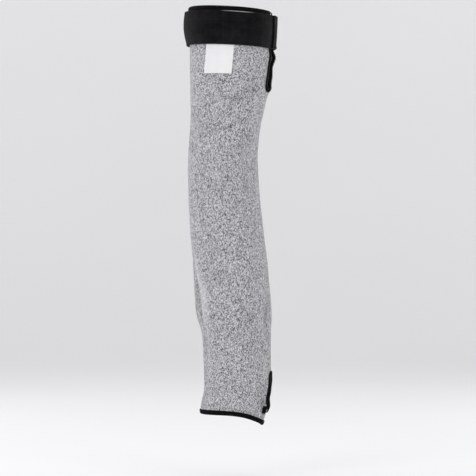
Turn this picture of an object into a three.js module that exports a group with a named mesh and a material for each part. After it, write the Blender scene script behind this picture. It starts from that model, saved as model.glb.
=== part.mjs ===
// Cut-resistant work sleeve: a knitted tube, worn from the upper arm down to the palm.
// The tube is a rolled wall with one seam line on the thumb side. That line is open in two places:
// a slit below the rim, which lets the top open for the arm, and a slot for the thumb near the hem.
// Every raw edge of the knit is wrapped by an overlocked edge, and an elastic strap closes the top.
//
// Millimetres, +Z up along the arm. The origin is the centre of the upper opening, at the knit's edge.
// +X is the thumb side. Angles run round the tube from +X (0) over the outer side of the arm, -Y (90).
// "drop" is the distance down the sleeve from the rim.
import * as THREE from 'three';
import { mergeVertices } from 'three/addons/utils/BufferGeometryUtils.js';

// Knit
const WALL = 1.6;
const HEM_DROP = 438;
const COLUMNS = 40;
const COLUMN_CROWDING = 0.45;
const CROWDED_SHARE = 0.41;
const PLAIN_ROW_STEP = 16;
const WELD_TOLERANCE = 1e-3;

// Sections of the knit's outer surface. tip lowers the whole thumb side of a section, in degrees.
// thumb_fall lowers only the stretch close to the thumb, where the hand pulls the knit down.
const SECTIONS = [
  { drop: 0, centre_x: -0.2, centre_y: 0, half_width: 44.7, half_depth: 44, tip: 3.2, thumb_fall: 0 },
  { drop: 45, centre_x: -0.1, centre_y: 0, half_width: 44.2, half_depth: 43.5, tip: 2.8, thumb_fall: 0 },
  { drop: 90, centre_x: -1.5, centre_y: 0.5, half_width: 42.1, half_depth: 42, tip: 1.5, thumb_fall: 0 },
  { drop: 125, centre_x: -5.2, centre_y: 1.5, half_width: 38.5, half_depth: 40.5, tip: 0.5, thumb_fall: 0 },
  { drop: 160, centre_x: -7.7, centre_y: 2, half_width: 38.3, half_depth: 40, tip: 0, thumb_fall: 0 },
  { drop: 195, centre_x: -6.7, centre_y: 2, half_width: 38.5, half_depth: 39.5, tip: 0, thumb_fall: 0 },
  { drop: 230, centre_x: -4.5, centre_y: 1.5, half_width: 39.8, half_depth: 39, tip: 0, thumb_fall: 0 },
  { drop: 265, centre_x: -0.9, centre_y: 1, half_width: 40.6, half_depth: 38.5, tip: 0, thumb_fall: 0 },
  { drop: 300, centre_x: 1.6, centre_y: 0, half_width: 41.3, half_depth: 37.5, tip: 0, thumb_fall: 0 },
  { drop: 322, centre_x: 3.5, centre_y: -0.5, half_width: 41.6, half_depth: 36.8, tip: 0, thumb_fall: 0 },
  { drop: 335, centre_x: 4.5, centre_y: -1, half_width: 40.7, half_depth: 36, tip: 0, thumb_fall: 0 },
  { drop: 348, centre_x: 6.2, centre_y: -1.3, half_width: 38.3, half_depth: 35, tip: 0, thumb_fall: 0 },
  { drop: 361, centre_x: 7.3, centre_y: -1.6, half_width: 37.4, half_depth: 34, tip: 0, thumb_fall: 0 },
  { drop: 387, centre_x: 7.4, centre_y: -2.4, half_width: 36.5, half_depth: 31.5, tip: 0, thumb_fall: 1.4 },
  { drop: 413, centre_x: 7.3, centre_y: -3, half_width: 35.8, half_depth: 29, tip: 0, thumb_fall: 5.2 },
  { drop: 428, centre_x: 4, centre_y: -3, half_width: 35.4, half_depth: 28, tip: 0, thumb_fall: 9.4 },
  { drop: HEM_DROP, centre_x: 2, centre_y: -3, half_width: 33.4, half_depth: 27.4, tip: 0, thumb_fall: 12.6 },
];
const THUMB_FALL_POWER = 4;

// Folds of the slack knit: each is a soft hollow (depth below 0) or swelling (above 0).
// angle and spread are in degrees and reach is the half length in mm.
// lean turns the fold by some degrees for each mm of drop.
const FOLDS = [
  { name: 'slit_flare', drop: 49, reach: 8, angle: 3, spread: 16, depth: 4.6, lean: 0 },
  { name: 'slit_lip', drop: 70, reach: 13, angle: 4, spread: 14, depth: 2.5, lean: 0 },
  { name: 'slit_end', drop: 85, reach: 5.5, angle: 6, spread: 12, depth: 2.2, lean: 0 },
  { name: 'slit_crease', drop: 98, reach: 12, angle: 76, spread: 8, depth: -1.8, lean: 1.35 },
  { name: 'slit_crease_ridge', drop: 98, reach: 12, angle: 92, spread: 9, depth: 0.8, lean: 1.35 },
  { name: 'slit_hollow', drop: 88, reach: 8, angle: 54, spread: 11, depth: -1, lean: 0 },
  { name: 'elbow_crook', drop: 158, reach: 9, angle: 8, spread: 26, depth: -0.9, lean: 0 },
  { name: 'elbow_groove', drop: 195, reach: 36, angle: 48, spread: 9, depth: -0.7, lean: 0 },
  { name: 'elbow_back', drop: 196, reach: 26, angle: 188, spread: 26, depth: 0.8, lean: 0 },
  { name: 'forearm_crease', drop: 310, reach: 27, angle: 155, spread: 7, depth: -2.8, lean: -0.25 },
  { name: 'forearm_hollow', drop: 314, reach: 24, angle: 167, spread: 10, depth: -1.4, lean: -0.2 },
  { name: 'forearm_ridge', drop: 287, reach: 22, angle: 147, spread: 7, depth: 1.7, lean: -0.44 },
  { name: 'forearm_ridge_end', drop: 325, reach: 23, angle: 140, spread: 7, depth: 1.4, lean: 0.07 },
  { name: 'forearm_dent', drop: 337, reach: 9, angle: 66, spread: 6, depth: -0.7, lean: 0 },
  { name: 'inner_dent', drop: 334, reach: 14, angle: 31, spread: 9, depth: -1.7, lean: 0.1 },
  { name: 'inner_ridge', drop: 339, reach: 13, angle: 47, spread: 8, depth: 0.8, lean: 0 },
  { name: 'wrist_crease', drop: 352, reach: 13, angle: 205, spread: 20, depth: -1.4, lean: 0 },
  { name: 'palm_hollow', drop: 376, reach: 44, angle: 158, spread: 8, depth: -0.9, lean: 0 },
  { name: 'palm_ridge', drop: 384, reach: 44, angle: 143, spread: 8, depth: 0.9, lean: 0 },
  { name: 'thumb_lip', drop: 416, reach: 17, angle: 20, spread: 13, depth: 5.7, lean: 0.5 },
  { name: 'thumb_dent', drop: 421.5, reach: 4.5, angle: 37, spread: 6, depth: -0.5, lean: 0 },
  { name: 'hem_flare', drop: HEM_DROP, reach: 14, angle: 180, spread: 38, depth: 0.6, lean: 0 },
];

// Seam line on the thumb side, and its two openings
const SLIT_END_DROP = 84.5;
const SEAM = [
  { drop: 0, angle: 8.5 },
  { drop: 55, angle: 9.6 },
  { drop: SLIT_END_DROP, angle: 15.8 },
  { drop: HEM_DROP, angle: 9 },
];
const SLIT = {
  end_radius: 3.5, rim_half_width: 6.5,
  side_shares: [0, 0.43, 0.5, 0.57, 0.66, 0.83], end_steps: 4,
};
const THUMB_SLOT = {
  top_drop: 397, top_radius: 3, bottom_drop: 416.5, bottom_radius: 9,
  top_steps: 3, side_steps: 3, bottom_steps: 6,
};

// Overlocked edge: a channel of thread wrapped over the raw edge of the knit
const OVERLOCK_COVER = 4;
const OVERLOCK_THICKNESS = 0.9;
const OVERLOCK_EASE = 0.55;
const CLEARANCE = 0.35;

// Thread tail left at the lower end of the thumb slot, measured along the knit from the seam line
const TAIL = {
  from_seam: 11.2, from_drop: 424.2, to_seam: 11.4, to_drop: 430.4,
  width: 4.2, height: 2.4, steps: 4, sides: 8,
};

// Elastic strap that closes the top. It starts below its own end, runs once round and laps over itself.
// It climbs onto its own start between two angles before the lap.
const STRAP_TOP_DROP = 4;
const STRAP_WIDTH = 36.5;
const STRAP_THICKNESS = 1.7;
const STRAP_STAND_OFF = 2;
const STRAP_START_ANGLE = -37;
const STRAP_END_ANGLE = 381;
const STRAP_RISE_START = 40;
const STRAP_RISE_END = 5;
const STRAP_STEPS = 50;
// Strap section from its lower edge up, with how far it swells off the arm at the back and the thumb side.
const STRAP_PROFILE = [
  { share: 0, back_swell: 0, thumb_swell: 0, corner: 0.55 },
  { share: 0.06, back_swell: 0.1, thumb_swell: 0, corner: 0 },
  { share: 0.25, back_swell: 1.6, thumb_swell: 0.8, corner: 0 },
  { share: 0.5, back_swell: 2.75, thumb_swell: 1.4, corner: 0 },
  { share: 0.77, back_swell: 2.6, thumb_swell: 1.7, corner: 0 },
  { share: 0.94, back_swell: 1.8, thumb_swell: 1.7, corner: 0 },
  { share: 1, back_swell: 1.3, thumb_swell: 1.5, corner: 0.55 },
];

// Blank woven label, sewn in below the strap
const LABEL = {
  angle: 104, lean: 3.3, width: 31.5, top_drop: 36.5, bottom_drop: 71.5,
  thickness: 1, curl: 1.1, steps: 6, side_steps: 5,
};

const FINISHES = {
  knit: { color: 0xa5a4a9, roughness: 0.92, metalness: 0 },
  overlock_thread: { color: 0x17171a, roughness: 0.75, metalness: 0 },
  strap_elastic: { color: 0x1d1c1f, roughness: 0.8, metalness: 0 },
  label_satin: { color: 0xe6e5e9, roughness: 0.55, metalness: 0 },
};

const radians = THREE.MathUtils.degToRad;
const lerp = THREE.MathUtils.lerp;

/** One column of the section table at a drop: a cubic through the rows, sloped by their neighbours. */
function section(column, drop) {
  const last = SECTIONS.length - 1;
  let row = 0;
  while (row < last - 1 && drop > SECTIONS[row + 1].drop) row += 1;
  const slope = (i) => {
    const before = SECTIONS[Math.max(i - 1, 0)];
    const after = SECTIONS[Math.min(i + 1, last)];
    return (after[column] - before[column]) / (after.drop - before.drop);
  };
  const [from, to] = [SECTIONS[row], SECTIONS[row + 1]];
  const span = to.drop - from.drop;
  const t = (drop - from.drop) / span;
  const bend = (1 - t) * (1 - t);
  return from[column] * (1 + 2 * t) * bend + to[column] * t * t * (3 - 2 * t)
    + span * (slope(row) * t * bend - slope(row + 1) * t * t * (1 - t));
}

/** Sum of the folds at a place: each is a bell in angle and in drop. */
function foldDepth(angle, drop) {
  let depth = 0;
  for (const fold of FOLDS) {
    const below = drop - fold.drop;
    const ahead = angle - fold.angle - fold.lean * below;
    const turn = THREE.MathUtils.euclideanModulo(ahead + 180, 360) - 180;
    depth += fold.depth * Math.exp(-((turn / fold.spread) ** 2) - (below / fold.reach) ** 2);
  }
  return depth;
}

/** Point on the knit's outer surface at an angle in degrees and a drop. */
function skin(angle, drop) {
  const turn = radians(angle);
  const fold = foldDepth(angle, drop);
  const across = (section('half_width', drop) + fold) * Math.cos(turn);
  const deep = (section('half_depth', drop) + fold) * Math.sin(turn);
  const thumbShare = ((1 + Math.cos(turn)) / 2) ** THUMB_FALL_POWER;
  const tip = Math.tan(radians(section('tip', drop)));
  const fall = tip * across + section('thumb_fall', drop) * thumbShare;
  const [x, y] = [section('centre_x', drop) + across, section('centre_y', drop) - deep];
  return new THREE.Vector3(x, y, -drop - fall);
}

/** The two directions along the knit: round it for each degree, and down it for each millimetre. */
function skinDirections(angle, drop) {
  const step = 0.5;
  const round = skin(angle + step, drop).sub(skin(angle - step, drop)).divideScalar(2 * step);
  const down = skin(angle, drop + step).sub(skin(angle, drop - step)).divideScalar(2 * step);
  return { round, down };
}

/** Outward normal of the knit's outer surface. */
function skinNormal(angle, drop) {
  const { round, down } = skinDirections(angle, drop);
  return round.cross(down).normalize();
}

/** Point that lies a distance out from the knit's outer surface. */
function onSkin(angle, drop, out) {
  return skin(angle, drop).addScaledVector(skinNormal(angle, drop), out);
}

/** Angle of the seam line at a drop, along straight runs between its places. */
function seamAngle(drop) {
  let row = 0;
  while (row < SEAM.length - 2 && drop > SEAM[row + 1].drop) row += 1;
  const [from, to] = [SEAM[row], SEAM[row + 1]];
  return lerp(from.angle, to.angle, (drop - from.drop) / (to.drop - from.drop));
}

/** Angle of a place that lies some millimetres along the knit from the seam line. */
function angleFromSeam(millimetres, drop) {
  return seamAngle(drop) + THREE.MathUtils.radToDeg(millimetres / section('half_depth', drop));
}

/** Half outline of the slit, from the rim down: two straight sides that close in a round end. */
function slitOutline() {
  const rows = [];
  const roundDrop = SLIT_END_DROP - SLIT.end_radius;
  for (const share of SLIT.side_shares) {
    rows.push({ drop: roundDrop * share, half: lerp(SLIT.rim_half_width, SLIT.end_radius, share) });
  }
  for (let i = 0; i <= SLIT.end_steps; i += 1) {
    const turn = (i / SLIT.end_steps) * Math.PI / 2;
    const half = i === SLIT.end_steps ? 0 : SLIT.end_radius * Math.cos(turn);
    rows.push({ drop: roundDrop + SLIT.end_radius * Math.sin(turn), half });
  }
  return rows;
}

/** Half outline of the thumb slot, from its top down: a small round end, straight sides, a large end. */
function thumbSlotOutline() {
  const { top_drop, top_radius, bottom_drop, bottom_radius } = THUMB_SLOT;
  const tangent = Math.asin((bottom_radius - top_radius) / (bottom_drop - top_drop));
  const onCircle = (drop, radius, turn) => (
    { drop: drop - radius * Math.sin(turn), half: radius * Math.cos(turn) }
  );
  const rows = [{ drop: top_drop - top_radius, half: 0 }];
  for (let i = 1; i <= THUMB_SLOT.top_steps; i += 1) {
    rows.push(onCircle(top_drop, top_radius, lerp(Math.PI / 2, tangent, i / THUMB_SLOT.top_steps)));
  }
  const sideTop = rows[rows.length - 1];
  const sideEnd = onCircle(bottom_drop, bottom_radius, tangent);
  for (let i = 1; i < THUMB_SLOT.side_steps; i += 1) {
    const share = i / THUMB_SLOT.side_steps;
    const half = lerp(sideTop.half, sideEnd.half, share);
    rows.push({ drop: lerp(sideTop.drop, sideEnd.drop, share), half });
  }
  for (let i = 0; i < THUMB_SLOT.bottom_steps; i += 1) {
    const turn = lerp(tangent, -Math.PI / 2, i / THUMB_SLOT.bottom_steps);
    rows.push(onCircle(bottom_drop, bottom_radius, turn));
  }
  rows.push({ drop: bottom_drop + bottom_radius, half: 0 });
  return rows;
}

/** Closed rows between two drops, about one plain step apart, without the two ends. */
function plainRows(from, to) {
  const count = Math.max(1, Math.round((to - from) / PLAIN_ROW_STEP));
  const rows = [];
  for (let i = 1; i < count; i += 1) rows.push({ drop: lerp(from, to, i / count), half: 0 });
  return rows;
}

/**
 * Angles of a row of the knit, round the tube from one side of the seam line to the other.
 * The first columns on each side are one overlock cover apart. The columns between them are closer
 * together where the deepest folds are.
 */
function rowAngles(row) {
  const beside = [0, 1, 2].map((covers) => row.half + covers * OVERLOCK_COVER);
  const near = beside.map((along) => angleFromSeam(along, row.drop));
  const far = beside.map((along) => angleFromSeam(-along, row.drop) + 360).reverse();
  const wave = (share) => {
    return COLUMN_CROWDING / (2 * Math.PI) * Math.sin(2 * Math.PI * (share - CROWDED_SHARE));
  };
  const spans = COLUMNS + 2 - near.length - far.length;
  const between = Array.from({ length: spans - 1 }, (_, i) => {
    const share = (i + 1) / spans;
    return lerp(near.at(-1), far[0], share - wave(share) + wave(0));
  });
  return [...near, ...between, ...far];
}

/** Geometry of a closed body from its points and triangles, welded and with its faces pointing out. */
function closedBody(points, triangles) {
  let volume = 0;
  for (const [a, b, c] of triangles) volume += points[a].dot(points[b].clone().cross(points[c]));
  const faces = volume < 0 ? triangles.map(([a, b, c]) => [a, c, b]) : triangles;
  const geometry = new THREE.BufferGeometry().setFromPoints(points);
  geometry.setIndex(faces.flat());
  const welded = mergeVertices(geometry, WELD_TOLERANCE);
  welded.computeVertexNormals();
  return welded;
}

/** Body swept through rings of equal length. Open sweeps are capped with the ring's own outline. */
function sweptBody(rings, outline, closed) {
  const size = outline.length;
  const triangles = [];
  const spans = closed ? rings.length : rings.length - 1;
  for (let ring = 0; ring < spans; ring += 1) {
    const next = ((ring + 1) % rings.length) * size;
    for (let i = 0; i < size; i += 1) {
      const [a, b] = [ring * size + i, ring * size + ((i + 1) % size)];
      const [c, d] = [next + ((i + 1) % size), next + i];
      triangles.push([a, b, c], [a, c, d]);
    }
  }
  if (!closed) {
    const end = (rings.length - 1) * size;
    const clockwise = THREE.ShapeUtils.isClockWise(outline);
    for (const face of THREE.ShapeUtils.triangulateShape(outline, [])) {
      const [a, b, c] = clockwise ? face.reverse() : face;
      triangles.push([c, b, a], [end + a, end + b, end + c]);
    }
  }
  return closedBody(rings.flat(), triangles);
}

/** The knitted wall: an outer and an inner surface, joined along the rim, the hem and both openings. */
function knitGeometry() {
  const slit = slitOutline();
  const slot = thumbSlotOutline();
  const belowSlit = { drop: SLIT_END_DROP + OVERLOCK_COVER, half: 0 };
  const aboveSlot = { drop: slot[0].drop - OVERLOCK_COVER, half: 0 };
  const belowSlot = { drop: slot.at(-1).drop + OVERLOCK_COVER, half: 0 };
  const aboveHem = { drop: HEM_DROP - OVERLOCK_COVER, half: 0 };
  const hemRow = { drop: HEM_DROP, half: 0 };
  const between = plainRows(belowSlit.drop, aboveSlot.drop);
  const rows = [...slit, belowSlit, ...between, aboveSlot, ...slot, belowSlot, aboveHem, hemRow];
  const width = COLUMNS + 1;
  const layer = rows.length * width;
  const points = [];
  for (const out of [0, -WALL]) {
    for (const row of rows) {
      points.push(...rowAngles(row).map((angle) => onSkin(angle, row.drop, out)));
    }
  }
  const triangles = [];
  const quad = (a, b, c, d) => triangles.push([a, b, c], [a, c, d]);
  const inner = (index) => index + layer;
  for (let row = 0; row < rows.length - 1; row += 1) {
    const [above, below] = [row * width, (row + 1) * width];
    for (let i = 0; i < COLUMNS; i += 1) {
      quad(above + i, below + i, below + i + 1, above + i + 1);
      quad(inner(above + i), inner(above + i + 1), inner(below + i + 1), inner(below + i));
    }
    if (rows[row].half > 0 || rows[row + 1].half > 0) {
      quad(above, inner(above), inner(below), below);
      quad(above + COLUMNS, below + COLUMNS, inner(below + COLUMNS), inner(above + COLUMNS));
    }
  }
  const hem = (rows.length - 1) * width;
  for (let i = 0; i < COLUMNS; i += 1) {
    quad(i, i + 1, inner(i + 1), inner(i));
    quad(hem + i, inner(hem + i), inner(hem + i + 1), hem + i + 1);
  }
  return closedBody(points, triangles);
}

/** Section of an overlocked edge: x runs out past the raw edge, y across the knit from its middle. */
function overlockSection() {
  const inside = WALL / 2 + OVERLOCK_EASE;
  const outside = inside + OVERLOCK_THICKNESS;
  const nose = CLEARANCE + OVERLOCK_THICKNESS;
  const shoulder = outside / 2;
  return [
    [-OVERLOCK_COVER, outside], [CLEARANCE, outside], [nose, shoulder],
    [nose, -shoulder], [CLEARANCE, -outside], [-OVERLOCK_COVER, -outside],
    [-OVERLOCK_COVER, -inside], [CLEARANCE, -inside], [CLEARANCE, inside], [-OVERLOCK_COVER, inside],
  ].map(([x, y]) => new THREE.Vector2(x, y));
}

/** Rates of angle and drop for each millimetre along a direction that lies in the knit's surface. */
function surfaceRates(angle, drop, direction) {
  const { round, down } = skinDirections(angle, drop);
  const [rr, dd, rd] = [round.dot(round), down.dot(down), round.dot(down)];
  const [pr, pd] = [direction.dot(round), direction.dot(down)];
  const scale = rr * dd - rd * rd;
  return { turn: (pr * dd - pd * rd) / scale, fall: (pd * rr - pr * rd) / scale };
}

/** Overlocked edge along a path of places on the knit. Its free side is on the right, seen from outside. */
function overlockGeometry(path, closed) {
  const outline = overlockSection();
  const edge = path.map(({ angle, drop }) => skin(angle, drop));
  const rings = path.map(({ angle, drop }, i) => {
    const before = closed ? edge.at(i - 1) : edge[Math.max(i - 1, 0)];
    const after = closed ? edge[(i + 1) % path.length] : edge[Math.min(i + 1, path.length - 1)];
    const past = after.clone().sub(before).cross(skinNormal(angle, drop)).normalize();
    const { turn, fall } = surfaceRates(angle, drop, past);
    return outline.map(({ x, y }) => onSkin(angle + turn * x, drop + fall * x, y - WALL / 2));
  });
  return sweptBody(rings, outline, closed);
}

/** Path down the far side of an opening and up its near side, from its half outline. */
function openingPath(outline) {
  const place = (row, side) => ({ angle: angleFromSeam(side * row.half, row.drop), drop: row.drop });
  const down = outline.map((row) => place(row, -1));
  const up = outline.filter((row) => row.half > 0).reverse().map((row) => place(row, 1));
  return [...down, ...up];
}

/** Overlocked rim, from the near side of the slit round to its far side. */
function rimOverlock() {
  const path = rowAngles(slitOutline()[0]).map((angle) => ({ angle, drop: 0 }));
  return overlockGeometry(path, false);
}

/** Overlocked hem, a closed ring. */
function hemOverlock() {
  const angles = rowAngles({ drop: HEM_DROP, half: 0 }).slice(1).reverse();
  return overlockGeometry(angles.map((angle) => ({ angle, drop: HEM_DROP })), true);
}

/** Overlocked edges of the slit, which stop short of the overlocked rim. */
function slitOverlock() {
  const outline = slitOutline();
  const startDrop = OVERLOCK_COVER + 2 * CLEARANCE;
  const share = startDrop / outline[1].drop;
  outline[0] = { drop: startDrop, half: lerp(outline[0].half, outline[1].half, share) };
  return overlockGeometry(openingPath(outline), false);
}

/** Overlocked edge of the thumb slot, a closed loop. */
function thumbOverlock() {
  return overlockGeometry(openingPath(thumbSlotOutline()), true);
}

/** Short flat tail of overlock thread that lies on the knit. */
function tailGeometry() {
  const outline = Array.from({ length: TAIL.sides }, (_, i) => {
    const turn = (i / TAIL.sides) * 2 * Math.PI;
    return new THREE.Vector2(Math.cos(turn) * TAIL.width / 2, Math.sin(turn) * TAIL.height / 2);
  });
  const rest = CLEARANCE + TAIL.height / 2;
  const start = onSkin(angleFromSeam(TAIL.from_seam, TAIL.from_drop), TAIL.from_drop, rest);
  const end = onSkin(angleFromSeam(TAIL.to_seam, TAIL.to_drop), TAIL.to_drop, rest);
  const along = end.clone().sub(start).normalize();
  const rings = [];
  for (let i = 0; i <= TAIL.steps; i += 1) {
    const share = i / TAIL.steps;
    const drop = lerp(TAIL.from_drop, TAIL.to_drop, share);
    const angle = angleFromSeam(lerp(TAIL.from_seam, TAIL.to_seam, share), drop);
    const normal = skinNormal(angle, drop);
    const side = along.clone().cross(normal).normalize();
    const middle = onSkin(angle, drop, rest);
    const place = ({ x, y }) => middle.clone().addScaledVector(side, x).addScaledVector(normal, y);
    rings.push(outline.map(place));
  }
  return sweptBody(rings, outline, false);
}

/** How far the strap's inner face stands out from the knit: it swells, and climbs onto its own start. */
function strapStandOff(angle, { back_swell, thumb_swell }) {
  const lapStart = STRAP_START_ANGLE + 360;
  const [climbStart, climbEnd] = [lapStart - STRAP_RISE_START, lapStart - STRAP_RISE_END];
  const climb = THREE.MathUtils.smoothstep(angle, climbStart, climbEnd);
  const toThumb = (1 + Math.cos(radians(angle))) / 2;
  const swell = lerp(back_swell, thumb_swell, toThumb);
  return STRAP_STAND_OFF + swell + climb * (STRAP_THICKNESS + CLEARANCE);
}

/** The strap: its profile, up the outside and down the inside, carried along its lap round the arm. */
function strapGeometry() {
  const outside = STRAP_PROFILE.map((row) => ({ ...row, layer: STRAP_THICKNESS - row.corner }));
  const inside = STRAP_PROFILE.map((row) => ({ ...row, layer: 0 })).reverse();
  const profile = [...outside, ...inside];
  const outline = profile.map(({ share, layer, thumb_swell }) => (
    new THREE.Vector2(layer + thumb_swell, share * STRAP_WIDTH)
  ));
  const rings = Array.from({ length: STRAP_STEPS + 1 }, (_, i) => {
    const angle = lerp(STRAP_START_ANGLE, STRAP_END_ANGLE, i / STRAP_STEPS);
    return profile.map((row) => {
      const drop = STRAP_TOP_DROP + STRAP_WIDTH * (1 - row.share);
      return onSkin(angle, drop, strapStandOff(angle, row) + row.layer);
    });
  });
  return sweptBody(rings, outline, false);
}

/** The label: a thin tag that hangs from below the strap and curls off the knit at its lower edge. */
function labelGeometry() {
  const { width, thickness } = LABEL;
  const halfAngle = THREE.MathUtils.radToDeg(width / 2 / section('half_width', LABEL.top_drop));
  const sides = Array.from({ length: LABEL.side_steps + 1 }, (_, i) => lerp(-1, 1, i / LABEL.side_steps));
  const corners = [...sides.map((side) => [side, 0]), ...sides.toReversed().map((side) => [side, 1])];
  const outline = corners.map(([side, face]) => {
    const turn = radians(side * halfAngle);
    const radius = section('half_width', LABEL.top_drop) + face * thickness;
    return new THREE.Vector2(radius * Math.sin(turn), radius * Math.cos(turn));
  });
  const rings = Array.from({ length: LABEL.steps + 1 }, (_, i) => {
    const share = i / LABEL.steps;
    const drop = lerp(LABEL.top_drop, LABEL.bottom_drop, share);
    const lift = CLEARANCE + LABEL.curl * share * share;
    const middle = LABEL.angle + LABEL.lean * share;
    return corners.map(([side, face]) => onSkin(middle + side * halfAngle, drop, lift + face * thickness));
  });
  return sweptBody(rings, outline, false);
}

const sleeve = new THREE.Group();
const PIECES = [
  ['sleeve_body', knitGeometry, 'knit'],
  ['rim_overlock', rimOverlock, 'overlock_thread'],
  ['slit_overlock', slitOverlock, 'overlock_thread'],
  ['thumb_overlock', thumbOverlock, 'overlock_thread'],
  ['thumb_tail', tailGeometry, 'overlock_thread'],
  ['hem_overlock', hemOverlock, 'overlock_thread'],
  ['arm_strap', strapGeometry, 'strap_elastic'],
  ['label', labelGeometry, 'label_satin'],
];
for (const [name, geometry, finish] of PIECES) {
  const material = new THREE.MeshStandardMaterial(FINISHES[finish]);
  const mesh = new THREE.Mesh(geometry(), material);
  mesh.name = name;
  sleeve.add(mesh);
}

export default sleeve;
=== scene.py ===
"""Knitted work sleeve: grey knit, black overlocked edges, black elastic strap and a blank label.

The sections, the depths of the folds, the seam line and the strap's way round the arm are those of the part's
solids, in millimetres. Shallow waves of the knit, threads and weaves are added here. "drop" is the distance
down the sleeve from the rim. Angles run round the sleeve in degrees, from +X (0) over the front, -Y (90).
"""

import bpy
import numpy as np
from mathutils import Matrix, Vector


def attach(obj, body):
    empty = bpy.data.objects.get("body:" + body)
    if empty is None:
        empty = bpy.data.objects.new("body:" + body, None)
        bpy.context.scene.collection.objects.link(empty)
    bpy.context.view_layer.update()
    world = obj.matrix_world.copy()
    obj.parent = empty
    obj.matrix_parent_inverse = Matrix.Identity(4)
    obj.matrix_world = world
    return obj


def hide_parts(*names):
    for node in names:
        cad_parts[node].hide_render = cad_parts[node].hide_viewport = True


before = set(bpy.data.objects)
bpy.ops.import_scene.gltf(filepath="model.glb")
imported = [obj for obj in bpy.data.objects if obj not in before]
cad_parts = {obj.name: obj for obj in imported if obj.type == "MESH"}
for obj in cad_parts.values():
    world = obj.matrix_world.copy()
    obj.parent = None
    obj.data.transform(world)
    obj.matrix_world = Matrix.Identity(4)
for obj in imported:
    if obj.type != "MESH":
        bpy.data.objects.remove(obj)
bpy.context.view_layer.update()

MM = 0.001

# Knit: sections of its outer surface
WALL = 1.6
HEM_DROP = 438.0
SECTION_COLUMNS = ("drop", "centre_x", "centre_y", "half_width", "half_depth", "tip", "thumb_fall")
SECTIONS = np.array([
    (0, -0.2, 0, 44.7, 44, 3.2, 0),
    (45, -0.1, 0, 44.2, 43.5, 2.8, 0),
    (90, -1.5, 0.5, 42.1, 42, 1.5, 0),
    (125, -5.2, 1.5, 38.5, 40.5, 0.5, 0),
    (160, -7.7, 2, 38.3, 40, 0, 0),
    (195, -6.7, 2, 38.5, 39.5, 0, 0),
    (230, -4.5, 1.5, 39.8, 39, 0, 0),
    (265, -0.9, 1, 40.6, 38.5, 0, 0),
    (300, 1.6, 0, 41.3, 37.5, 0, 0),
    (322, 3.5, -0.5, 41.6, 36.8, 0, 0),
    (335, 4.5, -1, 40.7, 36, 0, 0),
    (348, 6.2, -1.3, 38.3, 35, 0, 0),
    (361, 7.3, -1.6, 37.4, 34, 0, 0),
    (387, 7.4, -2.4, 36.5, 31.5, 0, 1.4),
    (413, 7.3, -3, 35.8, 29, 0, 5.2),
    (428, 4, -3, 35.4, 28, 0, 9.4),
    (HEM_DROP, 2, -3, 33.4, 27.4, 0, 12.6),
])
THUMB_FALL_POWER = 4

# Folds of the slack knit, in millimetres and degrees. Their tone is painted light: a highlight on the ridges,
# shade in the creases, hollows and dents
FOLD_COLUMNS = ("drop", "reach", "angle", "spread", "depth", "lean", "tone")
FOLDS = {
    "slit_flare": (49, 8, 3, 16, 4.6, 0, 0),
    "slit_lip": (70, 13, 4, 14, 2.5, 0, 0),
    "slit_end": (85, 5.5, 6, 12, 2.2, 0, 0),
    "slit_crease": (98, 12, 76, 8, -1.8, 1.35, -0.17),
    "slit_crease_ridge": (98, 12, 92, 9, 0.8, 1.35, 0.05),
    "slit_hollow": (88, 8, 54, 11, -1, 0, -0.12),
    "elbow_crook": (158, 9, 8, 26, -0.9, 0, 0),
    "elbow_groove": (195, 36, 48, 9, -0.7, 0, -0.09),
    "elbow_back": (196, 26, 188, 26, 0.8, 0, 0),
    "forearm_crease": (310, 27, 155, 7, -2.8, -0.25, -0.2),
    "forearm_hollow": (314, 24, 167, 10, -1.4, -0.2, -0.16),
    "forearm_ridge": (287, 22, 147, 7, 1.7, -0.44, 0.5),
    "forearm_ridge_end": (325, 23, 140, 7, 1.4, 0.07, 0.5),
    "forearm_dent": (337, 9, 66, 6, -0.7, 0, -0.1),
    "inner_dent": (334, 14, 31, 9, -1.7, 0.1, -0.3),
    "inner_ridge": (339, 13, 47, 8, 0.8, 0, 0.12),
    "wrist_crease": (352, 13, 205, 20, -1.4, 0, -0.1),
    "palm_hollow": (376, 44, 158, 8, -0.9, 0, -0.1),
    "palm_ridge": (384, 44, 143, 8, 0.9, 0, 0.1),
    "thumb_lip": (416, 17, 20, 13, 5.7, 0.5, 0),
    "thumb_dent": (421.5, 4.5, 37, 6, -0.5, 0, -0.45),
    "hem_flare": (HEM_DROP, 14, 180, 38, 0.6, 0, 0),
}

# Slack of the knit: the height, turns round the sleeve, length down it and phase of each shallow wave
SLACK_WAVES = {
    "long": (0.16, 3, 92, 0.4),
    "middle": (0.13, 5, 57, 2.1),
    "short": (0.10, 7, 38, 4.0),
}

# Seam line on the thumb side and its two openings, with the steps along their outlines
SLIT_END_DROP = 84.5
SLIT_END_RADIUS = 3.5
SLIT_RIM_HALF_WIDTH = 6.5
SLIT_SIDE_STEPS = 40
SLIT_END_STEPS = 10
SLOT_TOP_DROP = 397
SLOT_TOP_RADIUS = 3
SLOT_BOTTOM_DROP = 416.5
SLOT_BOTTOM_RADIUS = 9
SLOT_TOP_STEPS = 8
SLOT_SIDE_STEPS = 8
SLOT_BOTTOM_STEPS = 18
SEAM = {
    "drop": (0, 55, SLIT_END_DROP, HEM_DROP),
    "angle": (8.5, 9.6, 15.8, 9),
}

# Grid of the knit
KNIT_COLUMNS = 200
KNIT_ROW_STEP = 2.2
ROWS_BELOW_SLOT = 8

# Stitches: their number round the sleeve and down it, the form of their legs, and the streaks of the yarn
WALES = 200
COURSES = 470
LEG_LEAN = 0.7
LEG_FULLNESS = 0.6
LOOP_RELIEF = 0.55
STREAK_PER_WALE = 0.45
STREAK_PER_COURSE = 7.31

# Woven threads: how far one dips where it crosses another, and what sets the weft's random tones apart
CROSSING_DIP = 0.5
WEFT_SEED = 0.37

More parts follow.
